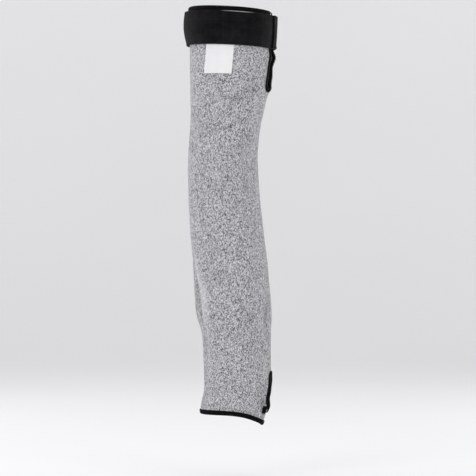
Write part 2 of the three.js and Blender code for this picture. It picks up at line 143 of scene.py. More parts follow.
# Yarn fuzz: the scale, detail and share of its fine and its coarse noise
FUZZ = {
    "Fine Scale": (1800.0, 3.0, 0.4),
    "Coarse Scale": (90.0, 2.0, 0.6),
}

# Overlocked edges: a core channel, thread wraps, a line of needle stitches and a purled edge
OVERLOCK_COVER = 4.0
EDGE_POINTS = 241
THREAD_SIDES = 5
WRAP_PITCH = 1.25
WRAP_RADIUS = 0.44
# Columns of the wraps: past, out, thickness
WRAP = np.array([
    (-4.0, 1.12, 0.5),
    (-3.6, 1.5, 0.9),
    (-1.9, 1.64, 1),
    (-0.1, 1.5, 1),
    (0.62, 0.9, 1),
    (0.78, 0, 1),
    (0.62, -0.9, 1),
    (-0.1, -1.5, 1),
    (-1.9, -1.64, 1),
    (-3.6, -1.5, 0.9),
    (-4.0, -1.12, 0.5),
])
# Columns of the core: past, out
CORE = np.array([
    (-4.0, 1.05),
    (-3.5, 1.35),
    (0.0, 1.3),
    (0.45, 0.85),
    (0.6, 0),
    (0.45, -0.85),
    (0.0, -1.3),
    (-3.5, -1.35),
    (-4.0, -1.05),
    (0.2, -0.95),
    (0.2, 0.95),
])
NEEDLE_PITCH = 2.5
NEEDLE_LENGTH = 1.9
NEEDLE_RADIUS = 0.26
NEEDLE_PAST = -3.1
# Columns of a stitch: share of its length, out, thickness
NEEDLE_STITCH = np.array([
    (0, 1.5, 0.6),
    (0.2, 1.93, 1),
    (0.8, 1.93, 1),
    (1, 1.5, 0.6),
])
PURL_PITCH = 1.25
PURL_RADIUS = 0.24
PURL_SWING = 0.55
PURL_PAST = 0.98
PURL_BOB = 0.1
PURL_STEP = 0.28

# Thread tail at the lower end of the thumb slot: four strands plaited along the knit
TAIL_FROM_SEAM, TAIL_FROM_DROP = 11.2, 424.2
TAIL_TO_SEAM, TAIL_TO_DROP = 11.4, 430.4
TAIL_STRANDS = 4
TAIL_RADIUS = 0.62
TAIL_SWING = 1.45
TAIL_RISE = 0.5
TAIL_TURNS = 1.3
TAIL_STEPS = 40
TAIL_SIDES = 8
TAIL_TAPER = 0.45
TAIL_TAPER_POWER = 6

# Elastic strap, which climbs onto its own start between two angles before the lap
CLEARANCE = 0.35
STRAP_TOP_DROP = 4
STRAP_WIDTH = 36.5
STRAP_THICKNESS = 1.7
STRAP_STAND_OFF = 2.0
STRAP_START_ANGLE = -37
STRAP_END_ANGLE = 381
STRAP_RISE_START = 40
STRAP_RISE_END = 5
STRAP_PROFILE_COLUMNS = ("share", "back_swell", "thumb_swell")
STRAP_PROFILE = np.array([
    (0, 0, 0),
    (0.06, 0.1, 0),
    (0.25, 1.6, 0.8),
    (0.5, 2.75, 1.4),
    (0.77, 2.6, 1.7),
    (0.94, 1.8, 1.7),
    (1, 1.3, 1.5),
])
STRAP_RIBS = 20
STRAP_RIB_HEIGHT = 0.07
STRAP_SELVAGE = 0.16
STRAP_SELVAGE_AT = (0.045, 0.955)
STRAP_SELVAGE_SPREAD = 0.022
STRAP_STEPS = 250
STRAP_ROWS = 100
STRAP_INSIDE_ROWS = 16
STRAP_EDGE_STEPS = 8
STRAP_END_ROUND = 2.6
STRAP_END_STEPS = 6
STRAP_END_THICKNESS = 0.35
STRAP_THREADS_ALONG = 380
STRAP_THREADS_ACROSS = 60
STRAP_GLOSS_WIDTH = (0.962, 0.978)
STRAP_GLOSS_MIDDLE = 0.278
STRAP_GLOSS_REACH = (0.055, 0.018)

# Label
LABEL_ANGLE = 104
LABEL_LEAN = 3.3
LABEL_WIDTH = 31.5
LABEL_TOP_DROP = 36.5
LABEL_BOTTOM_DROP = 71.5
LABEL_THICKNESS = 0.6
LABEL_CURL = 1.1
LABEL_RIPPLE = 0.14
LABEL_RIPPLE_ACROSS = 2.6
LABEL_RIPPLE_DOWN = 3.1
LABEL_EDGE = 0.94
LABEL_EDGE_THINNING = 0.5
LABEL_GRID = 48
LABEL_THREADS_ACROSS = 126
LABEL_THREADS_DOWN = 140

# Picture: the size of a pixel at the sleeve, and where the camera stands
PIXELS = 476
PIXEL_SIZE = 1.092
CAMERA_AT = (0.0085, -2.4, -0.2478)
CAMERA_SENSOR = 36.0

# Floor, in metres: its height, and how far it runs flat and in all from the middle
FLOOR_HEIGHT = -0.51
FLOOR_FLAT = 2.3
FLOOR_REACH = 3.6
FLOOR_GRID = 97
FLOOR_GLOW = 0.42
FLOOR_GLOW_COLOUR = (0.99, 0.99, 1.0, 1.0)

# Soft boxes and sky: where each box stands in metres, its width, its height and its power in watts
LIGHT_AIM = (0.0, 0.0, -0.22)
LIGHTS = {
    "front_left": ((-1.5, -2.3, 0.5), 1.2, 1.6, 34.0),
    "front_right": ((1.6, -2.1, 0.3), 1.2, 1.6, 18.0),
    "side_left": ((-1.4, 0.8, -0.05), 0.7, 1.4, 16.0),
    "side_right": ((1.4, 0.8, -0.35), 0.7, 1.4, 20.0),
    "above": ((0.0, -0.2, 1.6), 1.2, 1.2, 10.0),
}
SKY_COLOUR = (0.97, 0.98, 1.0, 1.0)
SKY_STRENGTH = 0.28

# Colours of the finishes, as stops of tone and colour, and the roughness of their sheen
KNIT_GREYS = (
    (0.1, (0.035, 0.035, 0.038)),
    (0.3, (0.195, 0.193, 0.206)),
    (0.55, (0.445, 0.441, 0.466)),
    (0.95, (0.785, 0.779, 0.814)),
)
# Painted highlight: the light grey the knit blends to along the ridges of the folds
KNIT_RIDGE_HIGHLIGHT = (0.68, 0.675, 0.71, 1.0)
THREAD_BLACKS = ((0.3, (0.002, 0.002, 0.0022)), (0.75, (0.008, 0.0078, 0.0085)))
STRAP_BLACKS = ((0.35, (0.002, 0.0018, 0.0022)), (0.62, (0.0105, 0.0098, 0.011)))
LABEL_WHITES = ((0.15, (0.62, 0.615, 0.632)), (0.6, (0.7, 0.695, 0.712)))
FLOOR_GREYS = ((0.3, (0.52, 0.52, 0.525)), (0.7, (0.55, 0.55, 0.555)))
SHEEN_ROUGHNESS = 0.35

# Sockets of the mix node, by number
MIX_SHARE = 0
MIX_NUMBERS, MIX_NUMBER_OUT = (2, 3), 0
MIX_COLOURS, MIX_COLOUR_OUT = (6, 7), 2


def through(table, columns, column, at):
    """One column of a table at each place: a cubic through its rows, with slopes taken from the rows on
    both sides."""
    start, value = table[:, 0], table[:, columns.index(column)]
    rows = np.arange(len(start))
    before, after = np.maximum(rows - 1, 0), np.minimum(rows + 1, len(start) - 1)
    slope = (value[after] - value[before]) / (start[after] - start[before])
    row = np.clip(np.searchsorted(start, at, side="right") - 1, 0, len(start) - 2)
    span = start[row + 1] - start[row]
    t = (at - start[row]) / span
    bend = (1 - t) ** 2
    return (value[row] * (1 + 2 * t) * bend + value[row + 1] * t * t * (3 - 2 * t)
            + span * (slope[row] * t * bend - slope[row + 1] * t * t * (1 - t)))


def section(column, drop):
    """One column of the knit's sections at each drop."""
    return through(SECTIONS, SECTION_COLUMNS, column, drop)


def folded(column, angle, drop):
    """Sum of one column of the folds, each as a bell in the angle from its leaning line times a bell in the
    drop. Depth is out from the knit, and lean turns the line by degrees for each millimetre of drop. Tone
    is painted light: it makes the yarn paler on a ridge as a painted highlight, and darker down in the
    creases, hollows and dents as painted shade."""
    total = np.zeros(np.broadcast(angle, drop).shape)
    for fold in FOLDS.values():
        at, reach, turn, spread, _, lean, _ = fold
        below = drop - at
        aside = (angle - turn - lean * below + 180) % 360 - 180
        total += fold[FOLD_COLUMNS.index(column)] * np.exp(-(aside / spread) ** 2 - (below / reach) ** 2)
    return total


def fold_depth(angle, drop):
    """Depth of the folds, and of the slack waves, each a sine of so many turns round the sleeve times a
    sine of its wave length down it."""
    depth = folded("depth", angle, drop)
    for height, turns, length, phase in SLACK_WAVES.values():
        round_it = np.sin(np.radians(angle) * turns + phase)
        depth += height * round_it * np.sin(2 * np.pi * drop / length + phase)
    return depth


def skin(angle, drop):
    """Points of the knit's outer surface: an ellipse at each drop, swollen by the folds, moved to its
    centre, tipped towards the thumb side, and lowered near the thumb by a power of the raised cosine of the
    angle."""
    turn = np.radians(angle)
    fold = fold_depth(angle, drop)
    across = (section("half_width", drop) + fold) * np.cos(turn)
    deep = (section("half_depth", drop) + fold) * np.sin(turn)
    thumb_share = ((1 + np.cos(turn)) / 2) ** THUMB_FALL_POWER
    fall = np.tan(np.radians(section("tip", drop))) * across + section("thumb_fall", drop) * thumb_share
    x, y = section("centre_x", drop) + across, section("centre_y", drop) - deep
    return np.stack([x, y, -drop - fall], axis=-1)


def unit(vectors):
    """Vectors of length one in the same directions."""
    return vectors / np.linalg.norm(vectors, axis=-1, keepdims=True)


def skin_directions(angle, drop, step=0.5):
    """The two directions along the knit: round it for each degree, and down it for each millimetre."""
    round_it = skin(angle + step, drop) - skin(angle - step, drop)
    down_it = skin(angle, drop + step) - skin(angle, drop - step)
    return round_it / (2 * step), down_it / (2 * step)


def skin_normal(angle, drop):
    """Outward normal of the knit: the cross product of the directions round it and down it."""
    return unit(np.cross(*skin_directions(angle, drop)))


def on_skin(angle, drop, out):
    """Points that lie a distance out from the knit's outer surface along its normal."""
    angle, drop, out = np.broadcast_arrays(angle, drop, out)
    return skin(angle, drop) + skin_normal(angle, drop) * out[..., None]


def angle_from_seam(along, drop):
    """Angle of a place that lies some millimetres along the knit from the seam line."""
    seam = np.interp(drop, SEAM["drop"], SEAM["angle"])
    return seam + np.degrees(along / section("half_depth", drop))


def slit_outline():
    """Drops and half widths of the slit, from the rim down: straight sides that close in a quarter
    circle."""
    round_drop = SLIT_END_DROP - SLIT_END_RADIUS
    share = np.arange(SLIT_SIDE_STEPS) / SLIT_SIDE_STEPS
    turn = np.linspace(0, np.pi / 2, SLIT_END_STEPS + 1)
    drop = np.concatenate([round_drop * share, round_drop + SLIT_END_RADIUS * np.sin(turn)])
    half = np.concatenate([SLIT_RIM_HALF_WIDTH + (SLIT_END_RADIUS - SLIT_RIM_HALF_WIDTH) * share,
                           SLIT_END_RADIUS * np.cos(turn)])
    half[-1] = 0
    return drop, half


def slot_outline():
    """Drops and half widths of the thumb slot, from its top down: an arc, a straight side and a larger arc
    that meet along their common tangent."""
    tangent = np.arcsin((SLOT_BOTTOM_RADIUS - SLOT_TOP_RADIUS) / (SLOT_BOTTOM_DROP - SLOT_TOP_DROP))
    top = np.linspace(np.pi / 2, tangent, SLOT_TOP_STEPS + 1)
    top_drop = SLOT_TOP_DROP - SLOT_TOP_RADIUS * np.sin(top)
    top_half = SLOT_TOP_RADIUS * np.cos(top)
    bottom = np.linspace(tangent, -np.pi / 2, SLOT_BOTTOM_STEPS + 1)
    end_drop = SLOT_BOTTOM_DROP - SLOT_BOTTOM_RADIUS * np.sin(bottom)
    end_half = SLOT_BOTTOM_RADIUS * np.cos(bottom)
    share = np.linspace(0, 1, SLOT_SIDE_STEPS + 1)[1:-1]
    side_drop = top_drop[-1] + (end_drop[0] - top_drop[-1]) * share
    side_half = top_half[-1] + (end_half[0] - top_half[-1]) * share
    drop = np.concatenate([top_drop, side_drop, end_drop])
    half = np.concatenate([top_half, side_half, end_half])
    half[[0, -1]] = 0
    return drop, half


def grid_quads(index):
    """Four-cornered faces of a grid of corner numbers."""
    return np.stack([index[:-1, :-1], index[:-1, 1:], index[1:, 1:], index[1:, :-1]], axis=-1).reshape(-1, 4)


def add_piece(name, points, faces, material, uv=None, tone=None):
    """Mesh object from whole arrays: points in millimetres, faces as arrays of corner numbers of one size
    each, and uv as one pair for each corner in the same order. Points that no face uses are dropped. tone,
    one number for each point, is kept as the attribute painted_fold_light_shade."""
    corners = np.concatenate([face.ravel() for face in faces])
    sizes = np.concatenate([np.full(len(face), face.shape[1]) for face in faces])
    used, corners = np.unique(corners, return_inverse=True)
    mesh = bpy.data.meshes.new(name)
    mesh.vertices.add(len(used))
    mesh.vertices.foreach_set("co", (points[used] * MM).astype(np.float32).ravel())
    mesh.loops.add(len(corners))
    mesh.loops.foreach_set("vertex_index", corners.astype(np.int32))
    mesh.polygons.add(len(sizes))
    mesh.polygons.foreach_set("loop_start", (np.cumsum(sizes) - sizes).astype(np.int32))
    if uv is not None:
        mesh.uv_layers.new(name="UVMap").data.foreach_set("uv", uv.astype(np.float32).ravel())
    if tone is not None:
        kept_tone = mesh.attributes.new("painted_fold_light_shade", "FLOAT", "POINT")
        kept_tone.data.foreach_set("value", tone[used].astype(np.float32))
    mesh.update(calc_edges=True)
    mesh.shade_smooth()
    mesh.materials.append(material)
    piece = bpy.data.objects.new(name, mesh)
    bpy.context.scene.collection.objects.link(piece)
    return piece


def tubes(centres, reference, radius, sides):
    """Points and faces of round threads, one for each row of centres: at each centre a ring of the given
    radius is drawn about the thread's direction, started square to the reference direction, and both ends
    are capped."""
    along = unit(np.gradient(centres, axis=1))
    side = unit(np.cross(reference, along))
    rise = np.cross(along, side)
    turn = np.arange(sides) * 2 * np.pi / sides
    spoke = side[:, :, None] * np.cos(turn)[:, None] + rise[:, :, None] * np.sin(turn)[:, None]
    radius = np.broadcast_to(radius, centres.shape[:2])
    points = centres[:, :, None] + spoke * radius[..., None, None]
    index = np.arange(points[..., 0].size).reshape(points.shape[:3])
    after = np.roll(index, -1, axis=2)
    quads = np.stack([index[:, :-1], after[:, :-1], after[:, 1:], index[:, 1:]], axis=-1).reshape(-1, 4)
    caps = np.concatenate([index[:, 0, ::-1], index[:, -1]])
    return points.reshape(-1, 3), [quads, caps]


def joined(*shapes):
    """Points and faces of several shapes put together, with the corner numbers moved on for each."""
    starts = np.cumsum([0] + [len(points) for points, _ in shapes])
    faces = [face + start for (_, group), start in zip(shapes, starts) for face in group]
    return np.concatenate([points for points, _ in shapes]), faces


def edge_path(angle, drop, closed):
    """A path along an edge of the knit: the length covered at each place, with the angle and the drop
    there. A closed path is repeated once before and once after itself, so that it can be read past its
    ends."""
    steps = np.linalg.norm(np.diff(skin(angle, drop), axis=0), axis=1)
    length = np.concatenate([[0], np.cumsum(steps)])
    total = length[-1]
    if closed:
        turn = angle[-1] - angle[0]
        length = np.concatenate([length[:-1] - total, length, length[1:] + total])
        angle = np.concatenate([angle[:-1] - turn, angle, angle[1:] + turn])
        drop = np.concatenate([drop[:-1], drop, drop[1:]])
    return {"length": length, "angle": angle, "drop": drop, "total": total, "closed": closed}


def on_edge(path, along, past, out, step=0.4):
    """Points beside an edge, and the edge's direction and normal there: past is the distance out over the
    edge along the knit's surface, and out the distance from the middle of the wall. Past points along the
    edge's direction crossed with the knit's normal, so the free side is on the right of the path seen from
    outside. The rates of angle and drop for each millimetre past come from the least squares fit of that
    direction to the knit's two own."""
    angle, drop = (np.interp(along, path["length"], path[key]) for key in ("angle", "drop"))
    ends = [skin(*(np.interp(along + shift, path["length"], path[key]) for key in ("angle", "drop")))
            for shift in (-step, step)]
    heading = unit(ends[1] - ends[0])
    normal = skin_normal(angle, drop)
    over = unit(np.cross(heading, normal))
    round_it, down_it = skin_directions(angle, drop)
    rr, dd, rd, pr, pd = ((a * b).sum(-1) for a, b in (
        (round_it, round_it), (down_it, down_it), (round_it, down_it), (over, round_it), (over, down_it)))
    turn, fall = (pr * dd - pd * rd) / (rr * dd - rd * rd), (pd * rr - pr * rd) / (rr * dd - rd * rd)
    return on_skin(angle + turn * past, drop + fall * past, out - WALL / 2), heading, normal


def spaced(path, pitch):
    """Even starts along a path, as near the pitch as whole numbers allow, and their spacing."""
    count = max(2, int(round(path["total"] / pitch)))
    gap = path["total"] / count
    return np.arange(count) * gap, gap


def repeated(table, shape):
    """The columns of a table, each repeated as every row of a grid of the given shape."""
    return [np.broadcast_to(column, shape) for column in table.T]


def overlock_core(path):
    """Channel under the threads: the core outline carried along the edge, closed on itself or capped at its
    ends."""
    starts, _ = spaced(path, 2 * WRAP_PITCH)
    along = starts if path["closed"] else np.append(starts, path["total"])
    grid = np.broadcast_to(along[:, None], (len(along), len(CORE)))
    past, out = repeated(CORE, grid.shape)
    points, _, _ = on_edge(path, grid, past, out)
    index = np.arange(grid.size).reshape(grid.shape)
    ring = np.concatenate([index, index[:, :1]], axis=1)
    if path["closed"]:
        return points.reshape(-1, 3), [grid_quads(np.concatenate([ring, ring[:1]]))]
    return points.reshape(-1, 3), [grid_quads(ring), np.stack([index[0, ::-1], index[-1]])]


def overlock_wraps(path):
    """Thread wraps: the wrap outline goes over the edge from the outside to the inside while it moves on by
    one pitch, so that each wrap leans and ends where the next begins."""
    starts, gap = spaced(path, WRAP_PITCH)
    share = np.linspace(0, 1, len(WRAP))
    along = starts[:, None] + (share * gap)[None, :]
    past, out, thickness = repeated(WRAP, along.shape)
    points, heading, _ = on_edge(path, along, past, out)
    return tubes(points, heading, WRAP_RADIUS * thickness, THREAD_SIDES)


def needle_stitches(path):
    """Straight needle stitches on the outside: short threads along the edge that dive in at both ends."""
    starts, _ = spaced(path, NEEDLE_PITCH)
    shape = (len(starts), len(NEEDLE_STITCH))
    share, out, thickness = repeated(NEEDLE_STITCH, shape)
    along = starts[:, None] + share * NEEDLE_LENGTH
    points, _, normal = on_edge(path, along, np.full(shape, NEEDLE_PAST), out)
    return tubes(points, normal, NEEDLE_RADIUS * thickness, THREAD_SIDES)


def purled_edge(path):
    """Linked loopers over the raw edge: two threads that swing from side to side of the edge once in a
    pitch."""
    count = int(path["total"] / PURL_STEP)
    along = np.broadcast_to(np.linspace(0, path["total"], count), (2, count))
    _, pitch = spaced(path, PURL_PITCH)
    swing = 2 * np.pi * along / pitch + np.array([[0], [np.pi]])
    past, out = PURL_PAST + PURL_BOB * np.cos(2 * swing), PURL_SWING * np.sin(swing)
    points, _, normal = on_edge(path, along, past, out)
    return tubes(points, normal, PURL_RADIUS, THREAD_SIDES)


def overlock_piece(name, path, material):
    """An overlocked edge: core, wraps, needle stitches and purled edge along one path."""
    shape = joined(overlock_core(path), overlock_wraps(path), needle_stitches(path), purled_edge(path))
    return add_piece(name, *shape, material)


def opening_path(drop, half, closed):
    """Path down the far side of an opening and up its near side, from its half outline."""
    far, near = angle_from_seam(-half, drop), angle_from_seam(half, drop)
    angle = np.concatenate([far, near[-2::-1]])
    return edge_path(angle, np.concatenate([drop, drop[-2::-1]]), closed)


def rim_path():
    """Path along the rim, from the near side of the slit round the sleeve to its far side."""
    _, half = slit_outline()
    angle = np.linspace(angle_from_seam(half[0], 0.0), angle_from_seam(-half[0], 0.0) + 360, EDGE_POINTS)
    return edge_path(angle, np.zeros(EDGE_POINTS), False)


def slit_path():
    """Path along the slit, which starts clear of the rim's threads."""
    drop, half = slit_outline()
    start = OVERLOCK_COVER + 2 * CLEARANCE
    kept = drop > start
    start_half = np.interp(start, drop, half)
    return opening_path(np.append(start, drop[kept]), np.append(start_half, half[kept]), False)


def hem_path():
    """Closed path along the hem, once round the sleeve from the seam line."""
    seam = angle_from_seam(0.0, HEM_DROP)
    angle = np.linspace(seam + 360, seam, EDGE_POINTS)
    return edge_path(angle, np.full(EDGE_POINTS, HEM_DROP), True)


def knit_tube(material):
    """The knitted wall: a grid of rows down the sleeve and columns round it from one side of the seam line
    to the other. Rows without an opening close on themselves. The inner surface lies one wall inside the
    outer one, and strips join them along the rim, the hem and the sides of both openings. The UV map is the
    turn from the seam line and the drop, so the stitches run straight past the openings."""
    slit_drop, slit_half = slit_outline()
    slot_drop, slot_half = slot_outline()
    rows_between = int((slot_drop[0] - slit_drop[-1]) / KNIT_ROW_STEP)
    between = np.linspace(slit_drop[-1], slot_drop[0], rows_between)[1:-1]
    below = np.linspace(slot_drop[-1], HEM_DROP, ROWS_BELOW_SLOT)[1:]
    drop = np.concatenate([slit_drop, between, slot_drop, below])
    half = np.concatenate([slit_half, np.zeros(len(between)), slot_half, np.zeros(len(below))])
    start, end = angle_from_seam(half, drop), angle_from_seam(-half, drop) + 360
    share = np.linspace(0, 1, KNIT_COLUMNS + 1)
    angle = start[:, None] + (end - start)[:, None] * share[None, :]
    points = np.concatenate([on_skin(angle, drop[:, None], out).reshape(-1, 3) for out in (0.0, -WALL)])
    raw = np.arange(angle.size).reshape(angle.shape)
    outer = raw.copy()
    outer[:, -1] = np.where(half == 0, raw[:, 0], raw[:, -1])
    inner = outer + angle.size
    open_rows = np.flatnonzero((half[:-1] > 0) | (half[1:] > 0))

    def strip(first, second):
        """Faces between two rows of corner numbers."""
        return np.stack([first[:-1], first[1:], second[1:], second[:-1]], axis=-1)

    def sides(first, second, column):
        """Faces between both walls along one side of the openings."""
        a, b = first[:, column], second[:, column]
        return np.stack([a[open_rows], a[open_rows + 1], b[open_rows + 1], b[open_rows]], axis=-1)

    def all_faces(front, back):
        """Faces of both walls and of the strips that join them."""
        return [grid_quads(front), grid_quads(back)[:, ::-1], strip(front[0], back[0])[:, ::-1],
                strip(front[-1], back[-1]), sides(front, back, 0), sides(front, back, -1)[:, ::-1]]

    faces = all_faces(outer, inner)
    plain = np.concatenate([face.ravel() for face in all_faces(raw, raw)])
    turn = (angle - angle_from_seam(0.0, drop)[:, None]) / 360
    down = np.broadcast_to(drop[:, None] / HEM_DROP, angle.shape)
    uv = np.stack([turn.ravel()[plain], down.ravel()[plain]], axis=-1)
    # Painted light and shade of the folds, kept on the knit: paler on the ridges, darker in the creases and
    # dents
    tone = np.tile(folded("tone", angle, drop[:, None]).ravel(), 2)
    return add_piece("knit_tube", points, faces, material, uv, tone)


def tail_thread(material):
    """Thread tail: four strands plaited along the knit. Each swings from side to side in a sine, and rises
    over the others in a sine of twice its rate, a quarter of a turn apart."""
    share = np.broadcast_to(np.linspace(0, 1, TAIL_STEPS), (TAIL_STRANDS, TAIL_STEPS))
    phase = 2 * np.pi * (TAIL_TURNS * share + np.arange(TAIL_STRANDS)[:, None] / TAIL_STRANDS)
    drop = TAIL_FROM_DROP + (TAIL_TO_DROP - TAIL_FROM_DROP) * share
    along = TAIL_FROM_SEAM + (TAIL_TO_SEAM - TAIL_FROM_SEAM) * share + TAIL_SWING * np.sin(phase)
    angle = angle_from_seam(along, drop)
    out = CLEARANCE + TAIL_RADIUS + TAIL_RISE * (1 + np.sin(2 * phase))
    radius = TAIL_RADIUS * (1 - TAIL_TAPER * share ** TAIL_TAPER_POWER)
    shape = tubes(on_skin(angle, drop, out), skin_normal(angle, drop), radius, TAIL_SIDES)
    return add_piece("tail_thread", *shape, material)


def strap_stand_off(angle, share):
    """Distance of the strap's inner face from the knit: a fixed part, a swell that goes from the back
    profile to the thumb profile by the raised cosine of the angle, and a smooth climb onto the strap's own
    start."""
    lap = STRAP_START_ANGLE + 360
    t = np.clip((angle - lap + STRAP_RISE_START) / (STRAP_RISE_START - STRAP_RISE_END), 0, 1)
    to_thumb = (1 + np.cos(np.radians(angle))) / 2
    back = through(STRAP_PROFILE, STRAP_PROFILE_COLUMNS, "back_swell", share)
    thumb = through(STRAP_PROFILE, STRAP_PROFILE_COLUMNS, "thumb_swell", share)
    swell = back + (thumb - back) * to_thumb
    return STRAP_STAND_OFF + swell + t * t * (3 - 2 * t) * (STRAP_THICKNESS + CLEARANCE)


def strap_section():
    """Outline of the strap: shares of its width and depths through its thickness, up the outside and down
    the inside, with half circles at both edges. Ribs, a cosine across the width, and two selvages, bells
    near the edges, stand on the outside."""
    edge = STRAP_THICKNESS / 2 / STRAP_WIDTH
    outside = np.linspace(edge, 1 - edge, STRAP_ROWS)
    ribs = STRAP_RIB_HEIGHT * (np.cos(2 * np.pi * STRAP_RIBS * outside) - 1)
    selvages = sum(np.exp(-((outside - at) / STRAP_SELVAGE_SPREAD) ** 2) for at in STRAP_SELVAGE_AT)
    turn = np.linspace(0, np.pi, STRAP_EDGE_STEPS + 1)[1:-1]
    inside = np.linspace(1 - edge, edge, STRAP_INSIDE_ROWS)
    share = np.concatenate([outside, 1 - edge + edge * np.sin(turn), inside, edge - edge * np.sin(turn)])
    raised = STRAP_THICKNESS + ribs + STRAP_SELVAGE * (selvages - 1)
    half = STRAP_THICKNESS / 2
    depth = np.concatenate([raised, half * (1 + np.cos(turn)), np.zeros(len(inside)),
                            half * (1 - np.cos(turn))])
    return share, depth


def strap_band(material):
    """The strap: its outline carried along its lap round the arm. Near its two ends the thickness draws in
    along a quarter circle, and so does the width, so the ends are rounded. The UV map runs along the strap
    and across it."""
    share, depth = strap_section()
    inset = STRAP_END_ROUND * (1 - np.cos(np.linspace(0, np.pi / 2, STRAP_END_STEPS + 1)[:-1]))
    run = np.radians(STRAP_END_ANGLE - STRAP_START_ANGLE) * section("half_width", STRAP_TOP_DROP)
    place = np.concatenate([inset, np.linspace(STRAP_END_ROUND, run - STRAP_END_ROUND, STRAP_STEPS),
                            run - inset[::-1]])
    angle = STRAP_START_ANGLE + (STRAP_END_ANGLE - STRAP_START_ANGLE) * place / run
    near_end = np.clip(1 - np.minimum(place, run - place) / STRAP_END_ROUND, 0, 1)
    draw = np.sqrt(1 - near_end ** 2)
    width = 1 - (1 - draw) * STRAP_END_ROUND / STRAP_WIDTH
    thick = STRAP_END_THICKNESS + (1 - STRAP_END_THICKNESS) * draw
    shares = 0.5 + (share[None, :] - 0.5) * width[:, None]
    depths = STRAP_THICKNESS / 2 + (depth[None, :] - STRAP_THICKNESS / 2) * thick[:, None]
    out = strap_stand_off(angle[:, None], shares) + depths
    points = on_skin(angle[:, None], STRAP_TOP_DROP + STRAP_WIDTH * (1 - shares), out)
    raw = np.arange(shares.size).reshape(shares.shape)
    ring = np.concatenate([raw, raw[:, :1]], axis=1)
    faces = [grid_quads(ring), np.stack([raw[0, ::-1], raw[-1]])]
    corners = np.concatenate([face.ravel() for face in faces])
    along = np.broadcast_to(place[:, None] / run, shares.shape)
    uv = np.stack([along.ravel()[corners], shares.ravel()[corners]], axis=-1)
    return add_piece("strap_band", points.reshape(-1, 3), faces, material, uv)


def label_tag(material):
    """The label: a grid that hangs from below the strap, curls away from the knit by the square of the way
    down, and ripples in a low sine. Its back lies one thickness behind, and strips join them along the four
    edges."""
    down, across = np.meshgrid(np.linspace(0, 1, LABEL_GRID), np.linspace(-1, 1, LABEL_GRID), indexing="ij")
    half_angle = np.degrees(LABEL_WIDTH / 2 / section("half_width", np.float64(LABEL_TOP_DROP)))
    drop = LABEL_TOP_DROP + (LABEL_BOTTOM_DROP - LABEL_TOP_DROP) * down
    angle = LABEL_ANGLE + LABEL_LEAN * down + half_angle * across
    ripple = LABEL_RIPPLE * down * (1 + np.sin(LABEL_RIPPLE_ACROSS * across + LABEL_RIPPLE_DOWN * down))
    lift = CLEARANCE + LABEL_CURL * down ** 2 + ripple
    edge = np.maximum(np.abs(across), np.abs(2 * down - 1))
    near_edge = np.clip((edge - LABEL_EDGE) / (1 - LABEL_EDGE), 0, 1)
    thickness = LABEL_THICKNESS * (1 - LABEL_EDGE_THINNING * near_edge ** 2)
    sides = [on_skin(angle, drop, out).reshape(-1, 3) for out in (lift + thickness, lift)]
    index = np.arange(drop.size).reshape(drop.shape)
    behind = index + drop.size
    rim = np.concatenate([index[0, :-1], index[:-1, -1], index[-1, :0:-1], index[:0:-1, 0]])
    after = np.roll(rim, -1)
    strip = np.stack([rim, rim + drop.size, after + drop.size, after], axis=-1)
    faces = [grid_quads(index), grid_quads(behind)[:, ::-1], strip]
    corners = np.concatenate([face.ravel() for face in faces]) % drop.size
    uv = np.stack([(across.ravel()[corners] + 1) / 2, 1 - down.ravel()[corners]], axis=-1)
    return add_piece("label_tag", np.concatenate(sides), faces, material, uv)


def node(tree, kind, **settings):
    """A shader node of a kind with its settings."""
    made = tree.nodes.new(kind)
    for key, value in settings.items():
        setattr(made, key, value)
    return made


def feed(tree, socket, value):
    """Links an output to a socket, or sets the socket to a number."""
    if isinstance(value, bpy.types.NodeSocket):
        tree.links.new(value, socket)
    else:
        socket.default_value = value


def calc(tree, operation, *values):
    """Output of a math node on outputs and numbers."""
    made = node(tree, "ShaderNodeMath", operation=operation)
    for socket, value in zip(made.inputs, values):
        feed(tree, socket, value)
    return made.outputs[0]


def weighted(tree, start, *parts):
    """A start value plus a sum of outputs, each times its share."""
    total = start
    for output, share in parts:
        total = calc(tree, "MULTIPLY_ADD", output, share, total)
    return total


def arch(tree, value):
    """A sine that rises and falls once in each whole step of the value."""
    return calc(tree, "SINE", calc(tree, "MULTIPLY", calc(tree, "FRACT", value), np.pi))


def new_group(name, inputs, outputs):
    """A shader node group with named inputs (name, kind, start value) and named outputs, which are
    numbers."""
    tree = bpy.data.node_groups.new(name, "ShaderNodeTree")
    for label, kind, start in inputs:
        socket = tree.interface.new_socket(label, in_out="INPUT", socket_type=kind)
        if start is not None:
            socket.default_value = start
    for label in outputs:
        tree.interface.new_socket(label, in_out="OUTPUT", socket_type="NodeSocketFloat")
    return tree, node(tree, "NodeGroupInput"), node(tree, "NodeGroupOutput")


def yarn_fuzz_group():
    """Fuzz of spun yarn: fine noise over coarse noise, as a tone from 0 to 1 and a height for bumps."""
    scales = [(name, "NodeSocketFloat", scale) for name, (scale, _, _) in FUZZ.items()]
    tree, entry, leave = new_group(
        "yarn_fuzz", [("Vector", "NodeSocketVector", None), *scales], ("Tone", "Height"))
    noises = []
    for name, (_, detail, share) in FUZZ.items():
        noise = node(tree, "ShaderNodeTexNoise")
        feed(tree, noise.inputs["Vector"], entry.outputs["Vector"])
        feed(tree, noise.inputs["Scale"], entry.outputs[name])
        feed(tree, noise.inputs["Detail"], detail)
        noises.append((noise.outputs["Fac"], share))
    fine, _ = noises[0]
    feed(tree, leave.inputs["Tone"], weighted(tree, 0.0, *noises))
    feed(tree, leave.inputs["Height"], fine)
    return tree


